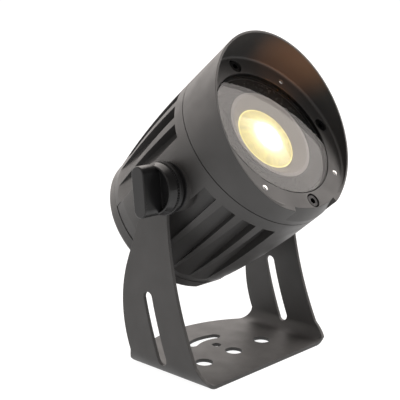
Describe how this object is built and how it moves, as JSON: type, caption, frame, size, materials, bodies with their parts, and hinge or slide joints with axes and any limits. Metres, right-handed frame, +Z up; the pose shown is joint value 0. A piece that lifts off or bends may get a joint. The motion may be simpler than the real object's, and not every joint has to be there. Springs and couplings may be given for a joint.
{
  "type": "LED spotlight",
  "caption": "LED spotlight: finned barrel with an angled hood, tilting between the slotted arms of a bent sheet yoke and clamped by a hand knob on each side.",
  "frame": {"origin": "centre of the base's middle hole at the underside", "axes": "+X along the tilt axis, -Y the side the beam leaves from, +Z up"},
  "size_m": [0.189, 0.1709, 0.239],
  "materials": {
    "yoke_paint": "satin",
    "body_paint": "charcoal powder coat, satin",
    "black_screw": "satin",
    "polished_steel": "polished",
    "steel": "satin",
    "black_rubber": "matte",
    "clear_glass": "clear",
    "grey_plate": "mottled matte",
    "pale_plate": "matte",
    "lit_lens": "clear",
    "mirror_metal": "polished",
    "white_pad": "matte",
    "led": "gloss",
    "white_plastic": "matte",
    "grey_plastic": "matte",
    "lead_red": "satin",
    "black_plastic": "satin",
    "knob_plastic": "satin"
  },
  "bodies": {
    "yoke": {"yoke_bracket": "yoke_paint"},
    "head": {"housing": "body_paint", "bezel_hood": "body_paint", "front_glass": "clear_glass", "rear_cap": "body_paint", "gland_body": "black_plastic", "gland_nut": "black_plastic", "vent_plug": "black_plastic", "bezel_screws": "black_screw", "bezel_studs": "polished_steel", "bezel_seal": "black_rubber", "glass_gasket": "black_rubber", "masking_plate": "grey_plate", "carrier_screws": "steel", "lens_trim": "pale_plate", "lens": "lit_lens", "reflector": "mirror_metal", "thermal_pad": "white_pad", "led_cob": "led", "led_holder": "white_plastic", "led_holder_screws": "steel", "driver": "white_plastic", "driver_screws": "steel", "terminal_block": "grey_plastic", "led_leads": "lead_red", "rear_cap_seal": "black_rubber", "rear_cap_screws": "steel", "gland_seal": "black_rubber", "gland_locknut": "black_plastic", "trunnion_bushes": "steel", "friction_washers": "black_plastic"},
    "left_washer": {"left_knob_washer": "steel"},
    "left_knob": {"left_knob_grip": "knob_plastic", "left_knob_stud": "steel"},
    "right_washer": {"right_knob_washer": "steel"},
    "right_knob": {"right_knob_grip": "knob_plastic", "right_knob_stud": "steel"}
  },
  "joints": [
    {"name": "head_tilt", "type": "hinge", "parent": "yoke", "child": "head", "pos_m": [0, 0.0058, 0.1353], "axis": [-1, 0, 0], "range_deg": [-130, 50]},
    {"name": "left_knob_travel", "type": "slide", "parent": "head", "child": "left_washer", "axis": [-1, 0, 0], "range_m": [0, 0.00251]},
    {"name": "left_knob_turn", "type": "hinge", "parent": "left_washer", "child": "left_knob", "pos_m": [-0.08, 0.0058, 0.1353], "axis": [-1, 0, 0], "range_deg": [0, 720]},
    {"name": "right_knob_travel", "type": "slide", "parent": "head", "child": "right_washer", "axis": [1, 0, 0], "range_m": [0, 0.00251]},
    {"name": "right_knob_turn", "type": "hinge", "parent": "right_washer", "child": "right_knob", "pos_m": [0.08, 0.0058, 0.1353], "axis": [1, 0, 0], "range_deg": [0, 720]}
  ],
  "couplings": [
    {"joint": "left_knob_travel", "follows": "left_knob_turn", "m_per_rad": 0.00019894},
    {"joint": "right_knob_travel", "follows": "right_knob_turn", "m_per_rad": 0.00019894}
  ]
}
